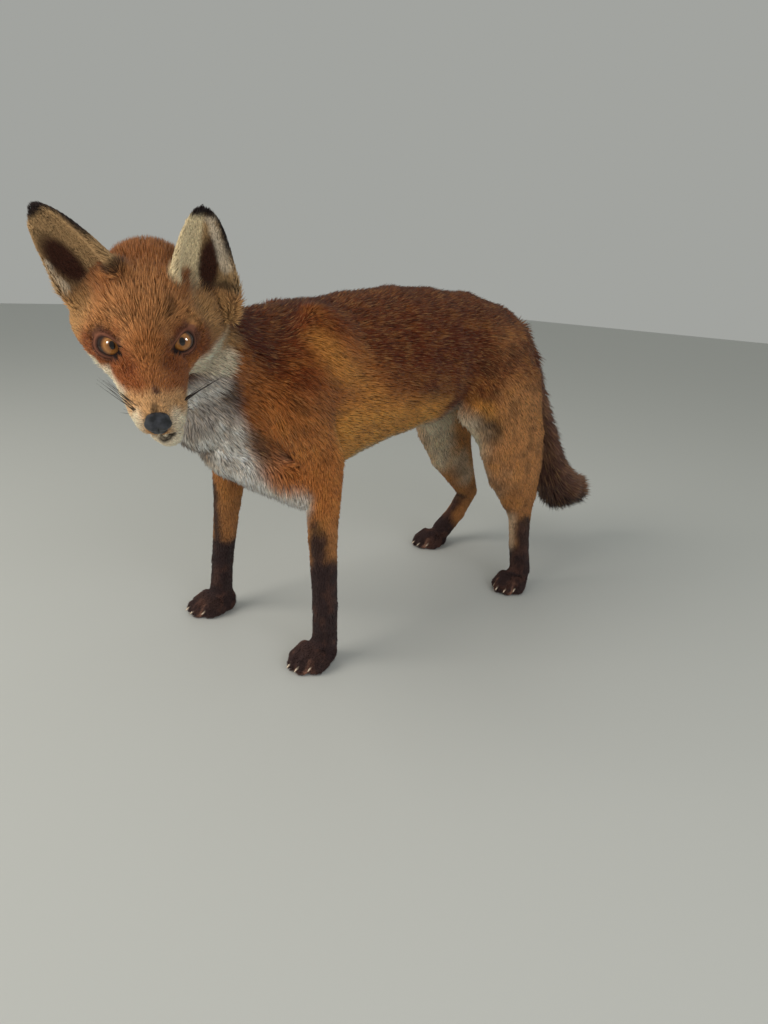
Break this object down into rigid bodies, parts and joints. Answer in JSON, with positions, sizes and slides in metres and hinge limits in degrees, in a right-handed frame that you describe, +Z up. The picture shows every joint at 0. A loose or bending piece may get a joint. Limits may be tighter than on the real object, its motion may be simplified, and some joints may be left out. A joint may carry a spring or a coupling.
{
  "type": "taxidermy fox",
  "caption": "Mounted red fox standing freely on its own feet, head turned to its left, in a short summer coat; a still display figure.",
  "frame": {"origin": "on the floor, under the middle of the outline seen from above", "axes": "+Z up; the body faces -Y, so the tail points to +Y; the fox's left side is +X"},
  "size_m": [0.2572, 0.7856, 0.4194],
  "materials": {
    "coat": "short dense fur, red-brown above and ochre below, dark on the legs and tail",
    "eye": "polished, amber with a dark pupil",
    "nose": "dark, slightly glossy, finely pebbled",
    "claw": "satin horn"
  },
  "bodies": {
    "root": {"head": "coat", "muzzle": "coat", "eye_left": "eye", "eye_right": "eye", "nose": "nose", "ear_left": "coat", "ear_right": "coat", "shoulder_left": "coat", "forearm_left": "coat", "forepaw_left": "coat", "claw_fore_left_1": "claw", "claw_fore_left_2": "claw", "claw_fore_left_3": "claw", "claw_fore_left_4": "claw", "shoulder_right": "coat", "forearm_right": "coat", "forepaw_right": "coat", "claw_fore_right_1": "claw", "claw_fore_right_2": "claw", "claw_fore_right_3": "claw", "claw_fore_right_4": "claw", "thigh_left": "coat", "shank_left": "coat", "hock_left": "coat", "hindpaw_left": "coat", "claw_hind_left_1": "claw", "claw_hind_left_2": "claw", "claw_hind_left_3": "claw", "claw_hind_left_4": "claw", "thigh_right": "coat", "shank_right": "coat", "hock_right": "coat", "hindpaw_right": "coat", "claw_hind_right_1": "claw", "claw_hind_right_2": "claw", "claw_hind_right_3": "claw", "claw_hind_right_4": "claw", "neck": "coat", "chest": "coat", "belly": "coat", "rump": "coat", "tail_root": "coat", "tail_middle": "coat", "tail_tip": "coat"}
  },
  "joints": []
}
